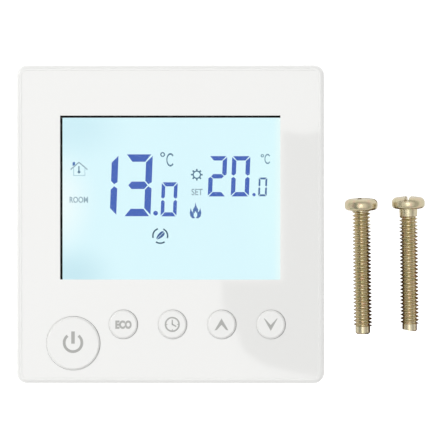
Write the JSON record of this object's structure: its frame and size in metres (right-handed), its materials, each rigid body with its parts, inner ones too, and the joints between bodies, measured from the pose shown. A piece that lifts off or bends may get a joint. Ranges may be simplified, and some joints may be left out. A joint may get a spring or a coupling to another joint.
{
  "type": "programmable room thermostat",
  "caption": "Square wall-box room thermostat with a lit display, one large and four small push buttons, a rear housing with screw terminals, and loose fixing screws.",
  "frame": {"origin": "centre of the rear housing's back face, the surface the unit lies on", "axes": "+Z out of the display, +Y towards the display's upper edge, +X to the right seen from the front"},
  "size_m": [0.1158, 0.09, 0.0433],
  "materials": {
    "cover_white": "gloss",
    "cap_white": "gloss",
    "pane_clear": "gloss",
    "holder_black": "matt",
    "display_glass": "gloss",
    "light_plate": "satin",
    "tinned_pins": "satin",
    "board_green": "gloss",
    "board_tan": "satin",
    "chip_black": "matt",
    "steel_can": "satin",
    "black_plastic": "matt",
    "housing_white": "satin",
    "galvanised_steel": "satin",
    "screw_steel": "satin",
    "relay_blue": "gloss",
    "coil_wire": "satin",
    "soft_iron": "satin",
    "winding_tape": "satin",
    "capacitor_sleeve": "gloss",
    "film_yellow": "gloss",
    "varistor_blue": "satin",
    "fuse_brown": "satin",
    "terminal_green": "satin",
    "contact_brass": "satin",
    "yellow_zinc": "satin"
  },
  "bodies": {
    "base": {"rear_housing": "housing_white", "mounting_frame": "galvanised_steel", "base_screws": "screw_steel", "power_board": "board_tan", "board_socket": "black_plastic", "relay_case": "relay_blue", "relay_coil": "coil_wire", "relay_yoke": "soft_iron", "supply_module": "winding_tape", "main_capacitor": "capacitor_sleeve", "film_capacitor": "film_yellow", "varistor": "varistor_blue", "fuse": "fuse_brown", "terminal_block": "terminal_green", "terminal_contacts": "contact_brass"},
    "front": {"front_cover": "cover_white", "window_lens": "pane_clear", "lcd_holder": "holder_black", "lcd_glass": "display_glass", "backlight_plate": "light_plate", "lcd_pins": "tinned_pins", "display_board": "board_green", "microcontroller": "chip_black", "crystal": "steel_can", "room_sensor": "black_plastic", "backup_cell": "steel_can", "buzzer": "black_plastic", "board_header": "black_plastic", "board_screws": "screw_steel", "switch_power": "black_plastic", "switch_eco": "black_plastic", "switch_clock": "black_plastic", "switch_up": "black_plastic", "switch_down": "black_plastic"},
    "power_key": {"button_power": "cap_white", "plunger_power": "black_plastic"},
    "eco_key": {"button_eco": "cap_white", "plunger_eco": "black_plastic"},
    "clock_key": {"button_clock": "cap_white", "plunger_clock": "black_plastic"},
    "up_key": {"button_up": "cap_white", "plunger_up": "black_plastic"},
    "down_key": {"button_down": "cap_white", "plunger_down": "black_plastic"},
    "armature": {"relay_armature": "soft_iron"},
    "screw_1": {"terminal_screw_1": "screw_steel"},
    "clamp_1": {"terminal_clamp_1": "galvanised_steel"},
    "screw_2": {"terminal_screw_2": "screw_steel"},
    "clamp_2": {"terminal_clamp_2": "galvanised_steel"},
    "screw_3": {"terminal_screw_3": "screw_steel"},
    "clamp_3": {"terminal_clamp_3": "galvanised_steel"},
    "screw_4": {"terminal_screw_4": "screw_steel"},
    "clamp_4": {"terminal_clamp_4": "galvanised_steel"},
    "screw_5": {"terminal_screw_5": "screw_steel"},
    "clamp_5": {"terminal_clamp_5": "galvanised_steel"},
    "screw_6": {"terminal_screw_6": "screw_steel"},
    "clamp_6": {"terminal_clamp_6": "galvanised_steel"},
    "loose_screw_left": {"fixing_screw_left": "yellow_zinc"},
    "loose_screw_right": {"fixing_screw_right": "yellow_zinc"}
  },
  "joints": [
    {"name": "front_release", "type": "slide", "parent": "base", "child": "front", "axis": [0, 0, 1], "range_m": [0, 0.022]},
    {"name": "power_press", "type": "slide", "parent": "front", "child": "power_key", "axis": [0, 0, -1], "range_m": [0, 0.0005], "stiffness_N_per_m": 700, "springref_m": -0.0022},
    {"name": "eco_press", "type": "slide", "parent": "front", "child": "eco_key", "axis": [0, 0, -1], "range_m": [0, 0.0005], "stiffness_N_per_m": 700, "springref_m": -0.0022},
    {"name": "clock_press", "type": "slide", "parent": "front", "child": "clock_key", "axis": [0, 0, -1], "range_m": [0, 0.0005], "stiffness_N_per_m": 700, "springref_m": -0.0022},
    {"name": "up_press", "type": "slide", "parent": "front", "child": "up_key", "axis": [0, 0, -1], "range_m": [0, 0.0005], "stiffness_N_per_m": 700, "springref_m": -0.0022},
    {"name": "down_press", "type": "slide", "parent": "front", "child": "down_key", "axis": [0, 0, -1], "range_m": [0, 0.0005], "stiffness_N_per_m": 700, "springref_m": -0.0022},
    {"name": "relay_pull", "type": "hinge", "parent": "base", "child": "armature", "pos_m": [-0.0124, -0.0022, 0.0046], "axis": [1, 0, 0], "range_deg": [0, 3.5], "stiffness_Nm_per_rad": 0.01, "springref_deg": -8.59},
    {"name": "terminal_turn_1", "type": "hinge", "parent": "base", "child": "screw_1", "pos_m": [-0.01875, -0.0206, 0.002], "axis": [0, 0, 1], "range_deg": [0, 1730]},
    {"name": "clamp_lift_1", "type": "slide", "parent": "base", "child": "clamp_1", "axis": [0, 0, -1], "range_m": [0, 0.0024]},
    {"name": "terminal_turn_2", "type": "hinge", "parent": "base", "child": "screw_2", "pos_m": [-0.01125, -0.0206, 0.002], "axis": [0, 0, 1], "range_deg": [0, 1730]},
    {"name": "clamp_lift_2", "type": "slide", "parent": "base", "child": "clamp_2", "axis": [0, 0, -1], "range_m": [0, 0.0024]},
    {"name": "terminal_turn_3", "type": "hinge", "parent": "base", "child": "screw_3", "pos_m": [-0.00375, -0.0206, 0.002], "axis": [0, 0, 1], "range_deg": [0, 1730]},
    {"name": "clamp_lift_3", "type": "slide", "parent": "base", "child": "clamp_3", "axis": [0, 0, -1], "range_m": [0, 0.0024]},
    {"name": "terminal_turn_4", "type": "hinge", "parent": "base", "child": "screw_4", "pos_m": [0.00375, -0.0206, 0.002], "axis": [0, 0, 1], "range_deg": [0, 1730]},
    {"name": "clamp_lift_4", "type": "slide", "parent": "base", "child": "clamp_4", "axis": [0, 0, -1], "range_m": [0, 0.0024]},
    {"name": "terminal_turn_5", "type": "hinge", "parent": "base", "child": "screw_5", "pos_m": [0.01125, -0.0206, 0.002], "axis": [0, 0, 1], "range_deg": [0, 1730]},
    {"name": "clamp_lift_5", "type": "slide", "parent": "base", "child": "clamp_5", "axis": [0, 0, -1], "range_m": [0, 0.0024]},
    {"name": "terminal_turn_6", "type": "hinge", "parent": "base", "child": "screw_6", "pos_m": [0.01875, -0.0206, 0.002], "axis": [0, 0, 1], "range_deg": [0, 1730]},
    {"name": "clamp_lift_6", "type": "slide", "parent": "base", "child": "clamp_6", "axis": [0, 0, -1], "range_m": [0, 0.0024]},
    {"name": "screw_left_lift", "type": "slide", "parent": "base", "child": "loose_screw_left", "axis": [0, 0, 1], "range_m": [0, 0.05]},
    {"name": "screw_right_lift", "type": "slide", "parent": "base", "child": "loose_screw_right", "axis": [0, 0, 1], "range_m": [0, 0.05]}
  ],
  "couplings": [
    {"joint": "terminal_turn_1", "follows": "clamp_lift_1", "rad_per_m": 12566},
    {"joint": "terminal_turn_2", "follows": "clamp_lift_2", "rad_per_m": 12566},
    {"joint": "terminal_turn_3", "follows": "clamp_lift_3", "rad_per_m": 12566},
    {"joint": "terminal_turn_4", "follows": "clamp_lift_4", "rad_per_m": 12566},
    {"joint": "terminal_turn_5", "follows": "clamp_lift_5", "rad_per_m": 12566},
    {"joint": "terminal_turn_6", "follows": "clamp_lift_6", "rad_per_m": 12566}
  ]
}
